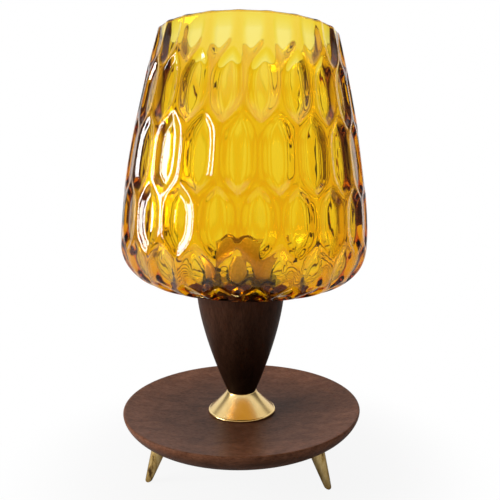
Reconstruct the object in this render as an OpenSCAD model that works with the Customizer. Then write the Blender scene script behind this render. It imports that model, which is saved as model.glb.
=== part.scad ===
// Glass table lamp: an amber honeycomb shade on a turned wood stem, a brass ferrule and a footed plate.
// Millimetres. The origin is on the table under the lamp's axis, +Z is up and the front faces -Y.

/* [Base plate] */
// Diameter of the plate over its rim
plate_d = 185; // [160:1:220]
// Width of the curved part of the underside, from the rim in to the flat
underside_w = 17.5; // [14:0.5:20]
// Thickness of the plate under the ferrule
plate_t = 10; // [10:0.5:20]
// Height of the rim above the ferrule's seat
dish_depth = 6.5; // [2:0.5:10]
// Radius of the rounded rim edge
rim_round = 1.5; // [0.5:0.1:2.5]

/* [Feet] */
// Height of the plate's underside above the table
leg_h = 32.5; // [26:0.5:45]
// Diameter of a foot where it touches the table
foot_tip_d = 4.4; // [3:0.1:6]
// Diameter of a foot where it meets the plate
foot_top_d = 13; // [11:0.1:14]
// Angle of a foot from the vertical
foot_splay = 21; // [16:0.5:26]
// Distance of a foot's tip inside the plate's rim
foot_inset = 15; // [12:0.5:25]
// Angle of the rear foot round the axis, from +X
foot_angle = 84; // [0:1:119]
// Diameter of the studs that hold the feet
stud_d = 6; // [4:0.5:6.5]
// Length of a stud in its foot, and again in the plate
stud_grip = 8; // [6:0.5:9]
// Wall of the threaded inserts in the plate
insert_wall = 1.2; // [0.8:0.1:2]

/* [Ferrule] */
// Diameter of the ferrule's lower edge
ferrule_d = 53.2; // [46:0.2:70]
// Diameter of the ferrule's neck
neck_d = 23.2; // [20:0.2:28]
// Height of the ferrule
ferrule_h = 16.6; // [12:0.2:30]
// Thickness of the spun brass
sheet_t = 1; // [0.6:0.1:1.6]
// Depth of the cup that holds the foot of the stem
cup_depth = 2; // [1:0.1:4]

/* [Stem] */
// Height of the stem above the ferrule
stem_h = 80.3; // [65:0.1:110]
// Diameter of the stem's top
stem_top_d = 68; // [66:0.5:90]
// Depth of the round pocket for the lampholder
pocket_depth = 17; // [16:0.5:26]

/* [Glass shade] */
// Height of the shade from its floor to its rim
shade_h = 189.5; // [150:0.5:240]
// Greatest diameter, over the ridges
belly_d = 185.6; // [160:0.2:210]
// Diameter of the open rim, over the ridges
shade_rim_d = 134.4; // [120:0.2:150]
// Diameter of the flat part of the shade's floor
shade_flat_d = 74; // [70:1:90]
// Height of the rounded lower corner
corner_h = 37.5; // [25:0.5:50]
// Height above the floor where the wall starts to taper
taper_h = 46.5; // [42:0.5:65]
// Thickness of the glass wall over the ridges
glass_t = 4.6; // [3.6:0.1:6]
// Thickness of the glass floor
glass_floor_t = 4; // [3:0.1:6]
// Diameter of the hole in the glass floor
glass_hole_d = 42; // [41:0.5:46]
// Cells in one row
cells_round = 22; // [16:1:28]
// Depth of a cell below its ridges
cell_depth = 2.6; // [0.5:0.1:3]
// Height of a cell's pointed end above its shoulders
point_h = 9; // [3:0.5:10]
// Angle round the axis of a ridge in the top row, from the front
cell_turn = 10.7; // [0:0.1:16]
// Lean of the hand-blown wall towards +X
shade_lean = 1.7; // [0:0.1:2.5]
// Distance of the wall's axis from the lamp's axis, towards +X
shade_offset = 2.1; // [0:0.1:3]

/* [Lampholder] */
// Outer diameter of the skirt
skirt_d = 39.5; // [39:0.1:40.5]
// Wall of the skirt
skirt_wall = 2.5; // [2:0.1:3]
// Wall of the cap
cap_wall = 2.15; // [1.6:0.05:2.6]
// Thickness of the cap's floor
cap_floor_t = 3; // [2:0.1:5]
// Height of the cap's wall above its floor
cap_wall_h = 11; // [8:0.5:12.5]
// Height of the shade ring
ring_h = 3; // [2.5:0.1:5]
// Diameter of the shade ring
ring_d = 56; // [50:0.5:64]
// Thickness of the felt gasket under the glass
lower_gasket_t = 1; // [0.5:0.1:2]
// Thickness of the rubber gasket on the glass
upper_gasket_t = 1; // [0.5:0.1:2]
// Inner diameter of the screw shell
shell_bore_d = 26.6; // [26.4:0.1:27.2]
// Height of the screw shell
shell_h = 16; // [14:0.5:22]
// Thickness of the screw shell's sheet
shell_t = 0.5; // [0.3:0.1:0.8]
// Diameter of the switch bar
bar_d = 4.4; // [3.8:0.1:5]
// Travel of the switch bar
bar_travel = 5; // [3:0.5:7]
// Distance of the switch bar behind the axis
bar_offset = 9; // [8:0.5:10]
// Diameter of the switch buttons
button_d = 6; // [5.6:0.1:7]
// Length of the switch buttons
button_l = 5; // [3:0.5:7]
// Diameter of the centre contact
contact_d = 5; // [4:0.1:5.2]
// Travel of the centre contact
contact_travel = 2; // [1:0.1:2.5]
// Wire of the contact spring
spring_wire = 0.5; // [0.4:0.1:0.6]

/* [Pipe] */
// Outer diameter of the threaded pipe
pipe_d = 10; // [8.5:0.5:11]
// Bore of the threaded pipe
pipe_bore_d = 7.6; // [7:0.1:8]
// Width of the base nut across its flats
nut_af = 17; // [16:0.5:19]
// Thickness of the base nut
nut_h = 4; // [3:0.5:5]
// Diameter of the base washer
washer_d = 24; // [22:0.5:26]
// Thickness of the base washer
washer_t = 1.5; // [1:0.1:2]
// Bore of the cord bush
bush_bore_d = 6.2; // [5:0.1:6.4]

/* [Hidden] */
// Clearance of turned and sliding fits, on the radius
fit = 0.05;
// Loose clearance round pieces that drop into a pocket, on the radius
loose = 0.25;
// Extra length of a cutting shape past the face that it cuts
cut = 1;
// Depth that two shapes of one piece run into each other
overlap = 0.5;
$fn = 96;

// Heights of the stack, from the table up
seat_z = leg_h + plate_t;
plate_rim_z = seat_z + dish_depth;
plate_edge_z = plate_rim_z - rim_round;
ferrule_top = seat_z + ferrule_h;
cup_floor = ferrule_top - cup_depth;
stem_top = ferrule_top + stem_h;
glass_z = stem_top + lower_gasket_t;
glass_floor_top = glass_z + glass_floor_t;
ring_bottom = glass_floor_top + upper_gasket_t;
ring_top = ring_bottom + ring_h;
pocket_floor = stem_top - pocket_depth;

// Base plate and what is fixed under it
plate_r = plate_d / 2;
plate_flat_r = plate_r - underside_w;
seat_margin = 2;
plate_seat_r = ferrule_d / 2 + seat_margin;
underside_power = 1.6;
dish_power = 1.8;
curve_steps = 16;
recess_play = 0.7;
recess_depth = washer_t + nut_h + recess_play;
recess_margin = 3;
recess_r = washer_d / 2 + recess_margin;
recess_top = leg_h + recess_depth;
washer_bottom = recess_top - washer_t;
nut_bottom = washer_bottom - nut_h;
foot_circle_r = plate_r - foot_inset;
foot_angles = [foot_angle + 120, foot_angle + 240, foot_angle];
foot_l = leg_h / cos(foot_splay);
insert_r = stud_d / 2 + fit + insert_wall;

// Threaded pipe and cord bush
pipe_r = pipe_d / 2;
pipe_bore_r = pipe_bore_d / 2;
pipe_hole_r = pipe_r + loose;
pipe_tail = 0.5;
pipe_bottom = nut_bottom - pipe_tail;
bush_flange_t = 1.2;
bush_flange_w = 1.5;
bush_flange_r = pipe_r + bush_flange_w;
bush_l = 8;

// Stem
stem_top_r = stem_top_d / 2;
neck_r = neck_d / 2;
stem_step = 0.3;
stem_foot_r = neck_r - stem_step;
tenon_r = neck_r - sheet_t - fit;
stem_power = 1.5;
stem_steps = 24;

// Ferrule
ferrule_r = ferrule_d / 2;
ferrule_power = 1.2;
ferrule_lip_h = 1.4;
// Level width of the slanted sheet, as a multiple of its thickness
flare_stretch = 1.3;
flare_w = sheet_t * flare_stretch;

// Lampholder
skirt_r = skirt_d / 2;
skirt_bore_r = skirt_r - skirt_wall;
cap_bore_r = skirt_r + fit;
cap_r = cap_bore_r + cap_wall;
pocket_play = 1;
pocket_r = cap_r + pocket_play;
cap_bottom = pocket_floor + pocket_play;
cap_floor_top = cap_bottom + cap_floor_t;
hub_wall = 4;
hub_r = pipe_r + hub_wall;
hub_h = 5;
grub_d = 3;
button_gap = 0.6;
bar_z = ring_top + button_d / 2 + button_gap;
block_r = skirt_bore_r - loose;
block_leg_wall = 2.4;
block_plate_t = 8.2;
block_cover = 0.8;
block_top = bar_z + bar_d / 2 + block_cover;
block_plate_bottom = block_top - block_plate_t;
contact_plate_t = 2.5;
contact_plate_top = block_top + contact_plate_t;
contact_rise = 0.3;
shell_foot_gap = 0.7;
shoulder_h = contact_travel + contact_rise + shell_foot_gap;
shell_bottom = contact_plate_top + shoulder_h;
shell_top = shell_bottom + shell_h;
shell_bore_r = shell_bore_d / 2;
shell_r = shell_bore_r + shell_t;
shell_flange_w = 2.2;
shell_flange_r = shell_r + shell_flange_w;
shoulder_step = 0.5;
shoulder_bore_r = shell_r + shoulder_step;
skirt_lip_t = 1.2;
lip_gap = 0.3;
skirt_top = shell_top + lip_gap + skirt_lip_t;
skirt_lip_r = shell_r + lip_gap;
contact_r = contact_d / 2;
collar_w = 0.9;
collar_r = contact_r + collar_w;
collar_t = 1.5;
well_gap = 0.2;
well_wall = 1.4;
well_r = collar_r + well_gap;
spring_l = 6;
well_floor = block_top - collar_t - spring_l;
well_floor_t = 1.2;
spring_turns = 5;
bar_r = bar_d / 2;
button_r = button_d / 2;
bar_reach = sqrt(skirt_r * skirt_r - (bar_offset - button_r) * (bar_offset - button_r)) + button_gap;
bar_left = -bar_reach - bar_travel - button_l;
bar_right = bar_reach + button_l;
terminal_x = 7;
terminal_y = -8;
terminal_head_r = 2.6;
terminal_head_h = 1.6;
terminal_r = 1.5;
terminal_l = 5;
terminal_end_gap = 0.5;

// Gaskets
gasket_inset = 2;
gasket_gap = 0.5;

// Glass shade
belly_r = belly_d / 2;
shade_rim_r = shade_rim_d / 2;
shade_flat_r = shade_flat_d / 2;
glass_hole_r = glass_hole_d / 2;
corner_power = 2.23;
taper_power = 1.5;
steps_per_cell = 4;
columns = cells_round * steps_per_cell;
wall_steps = 40;
corner_steps = 24;
inner_steps = 7;
row_steps = 3;
// Ends of the rows of cells, as shares of the wall's length from the rim to the flat floor
row_ends = [0.117, 0.293, 0.495, 0.665, 0.79, 0.91];
// Length over which the cells fade out towards the flat floor
fade_w = 10;
// Width of the ring round the flat floor in which the lean sets in
lean_w = 13;

// A flat ring or a straight tube
module tube(outer_r, inner_r, bottom, top) {
    translate([0, 0, bottom]) difference() {
        cylinder(r = outer_r, h = top - bottom);
        translate([0, 0, -cut]) cylinder(r = inner_r, h = top - bottom + 2 * cut);
    }
}

// Axis of foot number i: Z runs from the tip up and inwards along the foot
module along_foot(i) {
    rotate([0, 0, foot_angles[i]]) translate([foot_circle_r, 0, 0]) rotate([0, -foot_splay, 0]) children();
}

// Height of the dished top of the plate at radius r
dish_w = plate_r - rim_round - plate_seat_r;
function dish_z(r) = seat_z + dish_depth * pow((r - plate_seat_r) / dish_w, dish_power);

// Half outline of the plate: flat seat, dish, rounded rim, curved underside
plate_outline = concat(
    [[0, leg_h], [0, seat_z]],
    [for (i = [0:curve_steps])
        let (r = plate_seat_r + dish_w * i / curve_steps) [r, dish_z(r)]],
    [for (a = [60:-30:0])
        [plate_r - rim_round + rim_round * cos(a), plate_edge_z + rim_round * sin(a)]],
    [for (i = [1:curve_steps])
        let (a = 90 * i / curve_steps)
            [plate_flat_r + (plate_r - plate_flat_r) * pow(cos(a), 2 / underside_power),
             plate_edge_z - (plate_edge_z - leg_h) * pow(sin(a), 2 / underside_power)]]);

module base_plate() {
    color([0.26, 0.16, 0.12]) difference() {
        rotate_extrude() polygon(plate_outline);
        translate([0, 0, leg_h - cut]) cylinder(r = pipe_hole_r, h = plate_t + 2 * cut);
        translate([0, 0, leg_h - cut]) cylinder(r = recess_r, h = recess_depth + cut);
        for (i = [0:2]) along_foot(i) cylinder(r = insert_r, h = foot_l + stud_grip + cut);
    }
}

// One tapered peg, cut level at the table and against the plate
module foot(i) {
    reach = foot_circle_r + foot_top_d;
    slope = (foot_top_d - foot_tip_d) / 2 / foot_l;
    extra = foot_top_d;
    color([0.80, 0.62, 0.30]) difference() {
        intersection() {
            along_foot(i) translate([0, 0, -extra])
                cylinder(r1 = foot_tip_d / 2 - slope * extra, r2 = foot_top_d / 2 + slope * extra,
                    h = foot_l + 2 * extra);
            translate([-reach, -reach, 0]) cube([2 * reach, 2 * reach, leg_h]);
        }
        along_foot(i) translate([0, 0, foot_l - stud_grip])
            cylinder(r = stud_d / 2 + fit, h = stud_grip + extra);
    }
}

module foot_studs() {
    color("silver") for (i = [0:2])
        along_foot(i) translate([0, 0, foot_l - stud_grip]) cylinder(r = stud_d / 2, h = 2 * stud_grip);
}

// Sleeves let into the plate, level with its underside
module foot_inserts() {
    color([0.72, 0.55, 0.28]) for (i = [0:2]) difference() {
        along_foot(i) translate([0, 0, foot_l - stud_grip]) cylinder(r = insert_r - fit, h = 2 * stud_grip);
        along_foot(i) cylinder(r = stud_d / 2 + fit, h = foot_l + stud_grip + cut);
        translate([-plate_r, -plate_r, 0]) cube([plate_d, plate_d, leg_h]);
    }
}

// Outer radius of the ferrule at height z, above its lip
flare_z = seat_z + ferrule_lip_h;
function flare_r(z) =
    neck_r + (ferrule_r - neck_r) * pow(max(0, ferrule_top - z) / (ferrule_top - flare_z), ferrule_power);

module brass_ferrule() {
    web_bottom = cup_floor - sheet_t;
    outer = [for (i = [0:curve_steps])
        let (z = flare_z + (ferrule_top - flare_z) * i / curve_steps) [flare_r(z), z]];
    inner = [for (i = [0:curve_steps])
        let (z = web_bottom - (web_bottom - flare_z) * i / curve_steps) [flare_r(z) - flare_w, z]];
    color([0.83, 0.65, 0.33]) rotate_extrude() polygon(concat(
        [[ferrule_r, seat_z]], outer,
        [[neck_r - sheet_t, ferrule_top], [neck_r - sheet_t, cup_floor],
         [pipe_hole_r, cup_floor], [pipe_hole_r, web_bottom]],
        inner, [[ferrule_r - flare_w, seat_z]]));
}

// Radius of the stem at height z
function stem_r(z) =
    stem_top_r - (stem_top_r - stem_foot_r) * pow(max(0, stem_top - z) / stem_h, stem_power);

module wood_stem() {
    side = [for (i = [0:stem_steps])
        let (z = ferrule_top + fit + (stem_h - fit) * i / stem_steps) [stem_r(z), z]];
    color([0.22, 0.13, 0.10]) rotate_extrude() polygon(concat(
        [[pipe_hole_r, cup_floor], [tenon_r, cup_floor], [tenon_r, ferrule_top + fit]], side,
        [[pocket_r, stem_top], [pocket_r, pocket_floor], [pipe_hole_r, pocket_floor]]));
}

module threaded_pipe() {
    color("silver") tube(pipe_r, pipe_bore_r, pipe_bottom, cap_floor_top + hub_h);
}

module base_nut() {
    color("silver") difference() {
        translate([0, 0, nut_bottom]) cylinder(r = nut_af / 2 / cos(30), h = nut_h, $fn = 6);
        translate([0, 0, nut_bottom - cut]) cylinder(r = pipe_r + fit, h = nut_h + 2 * cut);
    }
}

module base_washer() {
    color("silver") tube(washer_d / 2, pipe_r + loose, washer_bottom, recess_top);
}

module cord_bush() {
    color([0.15, 0.13, 0.12]) difference() {
        union() {
            translate([0, 0, pipe_bottom - bush_flange_t]) cylinder(r = bush_flange_r, h = bush_flange_t);
            translate([0, 0, pipe_bottom - fit]) cylinder(r = pipe_bore_r - fit, h = bush_l);
        }
        translate([0, 0, pipe_bottom - bush_flange_t - cut])
            cylinder(r = bush_bore_d / 2, h = bush_l + bush_flange_t + 2 * cut);
    }
}

module lower_gasket() {
    color([0.35, 0.30, 0.25]) tube(stem_top_r - gasket_inset, pocket_r + gasket_gap, stem_top, glass_z);
}

module upper_gasket() {
    color([0.20, 0.18, 0.16]) tube(ring_d / 2 - gasket_gap, glass_hole_r, glass_floor_top, ring_bottom);
}

// Radius of the shade over its ridges at height z above its floor
function wall_r(z) = z <= taper_h ? belly_r
    : belly_r - (belly_r - shade_rim_r) * pow((z - taper_h) / (shade_h - taper_h), taper_power);

// Point of a rounded lower corner at angle a, from its widest place in to the flat floor
function corner_point(a, widest_r, floor_z) =
    [shade_flat_r + (widest_r - shade_flat_r) * pow(cos(a), 2 / corner_power),
     corner_h - (corner_h - floor_z) * pow(sin(a), 2 / corner_power)];

// Outline of the shade over its ridges, from the rim down to the flat floor
shade_outline = concat(
    [for (i = [0:wall_steps]) let (z = shade_h - (shade_h - corner_h) * i / wall_steps) [wall_r(z), z]],
    [for (i = [1:corner_steps]) corner_point(90 * i / corner_steps, belly_r, 0)]);
outline_last = len(shade_outline) - 1;

// Length along the outline from the rim to each of its points
function lengths_from(i, so_far) = i > outline_last ? []
    : let (here = so_far + (i == 0 ? 0 : norm(shade_outline[i] - shade_outline[i - 1])))
        concat([here], lengths_from(i + 1, here));
outline_lengths = lengths_from(0, 0);
outline_length = outline_lengths[outline_last];
radius_table = [for (i = [0:outline_last]) [outline_lengths[i], shade_outline[i][0]]];
height_table = [for (i = [0:outline_last]) [outline_lengths[i], shade_outline[i][1]]];

// Point and outward normal of the outline at length s from the rim
function outline_at(s) = [lookup(s, radius_table), lookup(s, height_table)];
function outline_normal(s) =
    let (along = outline_at(min(s + 1, outline_length)) - outline_at(max(s - 1, 0)))
        [-along[1], along[0]] / norm(along);

// Distance from the nearest upright ridge in a row, in cells: 0 on a ridge, 0.5 in mid cell
function ridge_distance(angle, row) =
    let (turn = (angle - cell_turn) / 360 * cells_round + (row % 2) / 2, part = turn - floor(turn))
        min(part, 1 - part);

// Place of the zigzag ridge under a row, along the outline
function zigzag(angle, row) =
    row_ends[row] * outline_length + point_h / 2 * (4 * ridge_distance(angle, row) - 1);

// Row of cells that a place on the wall lies in
function row_at(angle, s, row = 0) =
    row >= len(row_ends) || s < zigzag(angle, row) ? row : row_at(angle, s, row + 1);

// Share of the full cell depth at a place: 0 on a ridge, 1 in the middle of a cell
function hollow(angle, s, r) =
    let (row = row_at(angle, s),
         half_cell = PI * r / cells_round,
         side = ridge_distance(angle, row) * 2 * half_cell,
         above = row == 0 ? half_cell : s - zigzag(angle, row - 1),
         below = row == len(row_ends) ? half_cell : zigzag(angle, row) - s,
         near = min(side, above, below, half_cell),
         fade = min(1, (outline_length - s) / fade_w))
        fade * (1 - cos(180 * near / half_cell)) / 2;

// Point of the outer wall at length s from the rim and an angle from the front, sunk into its cell
function outer_point(s, angle) =
    let (p = outline_at(s)) p - outline_normal(s) * cell_depth * hollow(angle, s, p[0]);

// Levels of the outer wall: ends of each row's upright ridges, steps between them, the zigzag's middle
function row_start(row) = row == 0 ? 0 : row_ends[row - 1] * outline_length + point_h / 2;
outer_levels = concat(
    [for (row = [0:len(row_ends) - 1])
        let (start = row_start(row), end = row_ends[row] * outline_length - point_h / 2)
            each concat([for (i = [0:row_steps]) start + (end - start) * i / row_steps],
                [end + point_h / 2])],
    [for (i = [0:2])
        let (start = row_start(len(row_ends))) start + (outline_length - start) * i / 2]);

// Inner outline, smooth, from the hole in the floor up to the rim
shade_inside = concat(
    [[glass_hole_r, 0], [glass_hole_r, glass_floor_t]],
    [for (i = [inner_steps:-1:1]) corner_point(90 * i / inner_steps, belly_r - glass_t, glass_floor_t)],
    [for (i = [inner_steps:-1:0])
        let (z = shade_h - (shade_h - corner_h) * i / inner_steps) [wall_r(z) - glass_t, z]]);

// The wall leans and stands off the axis as a whole, and the flat floor stays level and central
function leaning(p, angle) =
    let (share = min(1, max(0, (p[0] - shade_flat_r) / lean_w)),
         x = p[0] * sin(angle))
        [x + share * (shade_offset + p[1] * tan(shade_lean)), -p[0] * cos(angle),
         glass_z + p[1] - share * x * tan(shade_lean)];

module glass_shade() {
    outer_rings = len(outer_levels);
    rings = outer_rings + len(shade_inside);
    points = [for (i = [0:rings - 1]) for (j = [0:columns - 1])
        let (angle = cell_turn + 360 * j / columns,
             p = i < outer_rings ? outer_point(outer_levels[i], angle) : shade_inside[i - outer_rings])
            leaning(p, angle)];
    faces = [for (i = [0:rings - 1]) for (j = [0:columns - 1])
        let (a = i * columns + j,
             b = i * columns + (j + 1) % columns,
             c = (i + 1) % rings * columns + (j + 1) % columns,
             d = (i + 1) % rings * columns + j)
            each [[a, b, c], [a, c, d]]];
    color([0.90, 0.68, 0.10, 0.6]) polyhedron(points, faces);
}

// Screw ring with a notched edge for the fingers
module shade_ring() {
    notches = 16;
    notch_r = 1.6;
    notch_out = 0.6;
    color([0.20, 0.12, 0.08]) difference() {
        tube(ring_d / 2, skirt_r + fit, ring_bottom, ring_top);
        for (i = [0:notches - 1]) rotate([0, 0, 360 * i / notches])
            translate([ring_d / 2 + notch_out, 0, ring_bottom - cut])
                cylinder(r = notch_r, h = ring_h + 2 * cut, $fn = 32);
    }
}

module holder_cap() {
    color([0.78, 0.61, 0.31]) difference() {
        union() {
            tube(cap_r, cap_bore_r, cap_bottom, cap_floor_top + cap_wall_h);
            translate([0, 0, cap_bottom]) cylinder(r = cap_bore_r + fit, h = cap_floor_t);
            translate([0, 0, cap_bottom]) cylinder(r = hub_r, h = cap_floor_t + hub_h);
        }
        translate([0, 0, cap_bottom - cut]) cylinder(r = pipe_r + fit, h = cap_floor_t + hub_h + 2 * cut);
        translate([0, 0, cap_floor_top + hub_h / 2]) rotate([90, 0, 0])
            cylinder(r = grub_d / 2 + fit, h = hub_r + cut);
    }
}

module grub_screw() {
    color("silver") translate([0, -pipe_r - fit, cap_floor_top + hub_h / 2]) rotate([90, 0, 0])
        cylinder(r = grub_d / 2, h = hub_r - pipe_r);
}

// Hole for the switch bar, all the way across along X
module bar_hole() {
    translate([-2 * skirt_r, bar_offset, bar_z]) rotate([0, 90, 0])
        cylinder(r = bar_r + fit, h = 4 * skirt_r);
}

module holder_skirt() {
    color([0.80, 0.63, 0.33]) difference() {
        union() {
            tube(skirt_r, skirt_bore_r, cap_floor_top, skirt_top);
            tube(skirt_r - fit, skirt_lip_r, skirt_top - skirt_lip_t, skirt_top);
        }
        bar_hole();
    }
}

// Insulating block: a tubular leg on the cap's floor and a thick top with switch, well and terminals
module switch_block() {
    color([0.30, 0.24, 0.19]) difference() {
        union() {
            tube(block_r, block_r - block_leg_wall, cap_floor_top, block_plate_bottom + overlap);
            translate([0, 0, block_plate_bottom]) cylinder(r = block_r, h = block_plate_t);
            translate([0, 0, well_floor - well_floor_t])
                cylinder(r = well_r + well_wall, h = block_top - well_floor);
        }
        translate([0, 0, well_floor]) cylinder(r = well_r, h = block_top - well_floor + cut);
        bar_hole();
        for (x = [-terminal_x, terminal_x])
            translate([x, terminal_y, block_plate_bottom - cut])
                cylinder(r = terminal_r + fit, h = terminal_l + terminal_end_gap + cut);
    }
}

module switch_bar() {
    color([0.12, 0.10, 0.09]) translate([bar_left + button_l, bar_offset, bar_z]) rotate([0, 90, 0])
        cylinder(r = bar_r, h = bar_right - bar_left - 2 * button_l);
}

module switch_buttons() {
    dome = 1;
    color([0.12, 0.10, 0.09]) for (end = [[bar_left + button_l, -90], [bar_right - button_l, 90]])
        translate([end[0], bar_offset, bar_z]) rotate([0, end[1], 0]) union() {
            cylinder(r = button_r, h = button_l - dome);
            translate([0, 0, button_l - dome]) cylinder(r1 = button_r, r2 = button_r - dome, h = dome);
        }
}

module terminal_screws() {
    color([0.80, 0.65, 0.35]) for (x = [-terminal_x, terminal_x]) translate([x, terminal_y, 0]) union() {
        translate([0, 0, block_plate_bottom - terminal_head_h])
            cylinder(r = terminal_head_r, h = terminal_head_h);
        translate([0, 0, block_plate_bottom - fit]) cylinder(r = terminal_r, h = terminal_l);
    }
}

// Insulating disc with a raised shoulder that the screw shell stands on
module contact_block() {
    color([0.88, 0.85, 0.78]) difference() {
        union() {
            translate([0, 0, block_top]) cylinder(r = block_r, h = contact_plate_t);
            tube(block_r, shoulder_bore_r, contact_plate_top - overlap, shell_bottom);
        }
        translate([0, 0, block_top - cut]) cylinder(r = contact_r + fit, h = contact_plate_t + 2 * cut);
    }
}

// Round-nosed plunger with a collar that the disc holds down
module centre_contact() {
    nose_top = contact_plate_top + contact_travel + contact_rise;
    nose_edge = 0.8;
    collar_bottom = block_top - collar_t;
    color([0.85, 0.68, 0.36]) rotate_extrude() polygon([
        [0, collar_bottom], [collar_r, collar_bottom], [collar_r, block_top], [contact_r, block_top],
        [contact_r, nose_top - nose_edge], [contact_r - nose_edge, nose_top], [0, nose_top]]);
}

// Coil spring: a round wire carried along a helix between the well's floor and the plunger's collar
module contact_spring() {
    wire_sides = 6;
    wire_r = spring_wire / 2;
    turn_steps = 12;
    coil_gap = 0.1;
    coil_r = collar_r - wire_r - coil_gap;
    low = well_floor + wire_r;
    rise = spring_l - spring_wire;
    last = spring_turns * turn_steps;
    points = [for (i = [0:last]) for (k = [0:wire_sides - 1])
        let (a = 360 * i / turn_steps, b = 360 * k / wire_sides, r = coil_r + wire_r * cos(b))
            [r * cos(a), r * sin(a), low + rise * i / last + wire_r * sin(b)]];
    sides = [for (i = [0:last - 1]) for (k = [0:wire_sides - 1])
        let (a = i * wire_sides + k, b = i * wire_sides + (k + 1) % wire_sides)
            each [[a, a + wire_sides, b + wire_sides], [a, b + wire_sides, b]]];
    start_face = [for (k = [1:wire_sides - 2]) [0, k, k + 1]];
    end_face = [for (k = [1:wire_sides - 2])
        [last * wire_sides, last * wire_sides + k + 1, last * wire_sides + k]];
    color("silver") polyhedron(points, concat(sides, start_face, end_face));
}

module screw_shell() {
    color([0.82, 0.70, 0.45]) union() {
        tube(shell_r, shell_bore_r, shell_bottom, shell_top);
        tube(shell_flange_r, shell_bore_r + shell_t / 2, shell_bottom, shell_bottom + shell_t);
    }
}

base_plate();
foot(0);  // foot_front_left
foot(1);  // foot_front_right
foot(2);  // foot_rear
foot_studs();
foot_inserts();
brass_ferrule();
wood_stem();
threaded_pipe();
base_nut();
base_washer();
cord_bush();
lower_gasket();
glass_shade();
upper_gasket();
shade_ring();
holder_cap();
grub_screw();
holder_skirt();
switch_block();
switch_bar();
switch_buttons();
terminal_screws();
contact_block();
centre_contact();
contact_spring();
screw_shell();
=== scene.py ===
# %% [markdown]
# A table lamp with an amber glass shade.
# This lesson dresses a packed lamp: the frame gives every piece its place, and each step below makes one
# piece or one finish. All lengths are metres, +Z is up, and the lamp's axis is the Z axis.

# %% Load the frame
import math

import bpy
import numpy as np
from mathutils import Matrix, Vector


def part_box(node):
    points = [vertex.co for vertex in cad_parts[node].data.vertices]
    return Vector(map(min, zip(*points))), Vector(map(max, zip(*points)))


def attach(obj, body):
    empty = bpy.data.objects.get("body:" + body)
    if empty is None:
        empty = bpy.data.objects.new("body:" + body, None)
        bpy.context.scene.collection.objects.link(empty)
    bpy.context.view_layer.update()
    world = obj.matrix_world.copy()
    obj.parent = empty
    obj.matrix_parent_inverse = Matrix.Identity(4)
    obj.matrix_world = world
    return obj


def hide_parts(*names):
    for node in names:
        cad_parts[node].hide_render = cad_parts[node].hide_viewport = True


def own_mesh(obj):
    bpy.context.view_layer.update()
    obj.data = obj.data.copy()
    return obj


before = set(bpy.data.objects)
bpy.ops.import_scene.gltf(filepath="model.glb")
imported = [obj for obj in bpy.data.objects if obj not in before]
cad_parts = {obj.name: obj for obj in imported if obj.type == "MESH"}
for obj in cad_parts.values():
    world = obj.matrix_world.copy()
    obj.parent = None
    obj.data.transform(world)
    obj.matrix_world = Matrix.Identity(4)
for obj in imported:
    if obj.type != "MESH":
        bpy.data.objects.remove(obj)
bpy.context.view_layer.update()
MM = 0.001
scene = bpy.context.scene

# %% [markdown]
# The camera stands close to the lamp, a little above its middle, and looks slightly down. Its place,
# lens and turn were found by laying the circles of the plate, ferrule, stem and shade over the
# photograph. A camera matrix is built from three directions: right, up and backwards.

# %% Camera
camera_place = Vector((1.765, -431.34, 222.16)) * MM
camera_pitch = 0.1186
camera_yaw = 0.0135
camera_roll = -0.0086
focal_pixels = 561.84
image_pixels = 500

camera_data = bpy.data.cameras.new("photo_camera")
camera_data.sensor_width = 36
camera_data.lens = camera_data.sensor_width * focal_pixels / image_pixels
camera_data.clip_start = 0.01
camera = bpy.data.objects.new("photo_camera", camera_data)
scene.collection.objects.link(camera)

ahead = Vector((math.sin(camera_yaw) * math.cos(camera_pitch),
                math.cos(camera_yaw) * math.cos(camera_pitch),
                -math.sin(camera_pitch)))
level_right = Vector((math.cos(camera_yaw), -math.sin(camera_yaw), 0))
level_up = level_right.cross(ahead)
right = level_right * math.cos(camera_roll) + level_up * math.sin(camera_roll)
up = level_up * math.cos(camera_roll) - level_right * math.sin(camera_roll)
camera_turn = Matrix((right, up, -ahead)).transposed().to_4x4()
camera.matrix_world = Matrix.Translation(camera_place) @ camera_turn
scene.camera = camera
print("lens:", round(camera_data.lens, 2), "mm")

# %% [markdown]
# Most pieces of a lamp are turned on a lathe or spun, so one helper carries them all: an outline in the
# half plane of radius and height is carried round the Z axis. Another joins a stack of rings into a
# tube, for pieces that lean or wind. Edges that show are rounded in the outlines themselves, because a
# real edge is never perfectly sharp and the soft edge is what catches the light.

# %% Helpers for turned pieces


def ring_faces(rows, columns):
    """Quads of a grid that closes on itself both ways: row i meets row i + 1, and column j meets j + 1."""
    i = np.arange(rows)[:, None]
    j = np.arange(columns)[None, :]
    next_i = (i + 1) % rows
    next_j = (j + 1) % columns
    corners = [i * columns + j, i * columns + next_j, next_i * columns + next_j, next_i * columns + j]
    return np.stack(np.broadcast_arrays(*corners), -1).reshape(-1, 4)


def mesh_piece(name, points, faces, sharp_angle=math.radians(40)):
    """A mesh object at the origin from points and faces, smooth except along edges past an angle."""
    mesh = bpy.data.meshes.new(name)
    mesh.from_pydata(points.reshape(-1, 3).tolist(), [], list(faces))
    mesh.polygons.foreach_set("use_smooth", np.ones(len(mesh.polygons), bool))
    mesh.set_sharp_from_angle(angle=sharp_angle)
    mesh.validate()
    piece = bpy.data.objects.new(name, mesh)
    scene.collection.objects.link(piece)
    return piece


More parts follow.
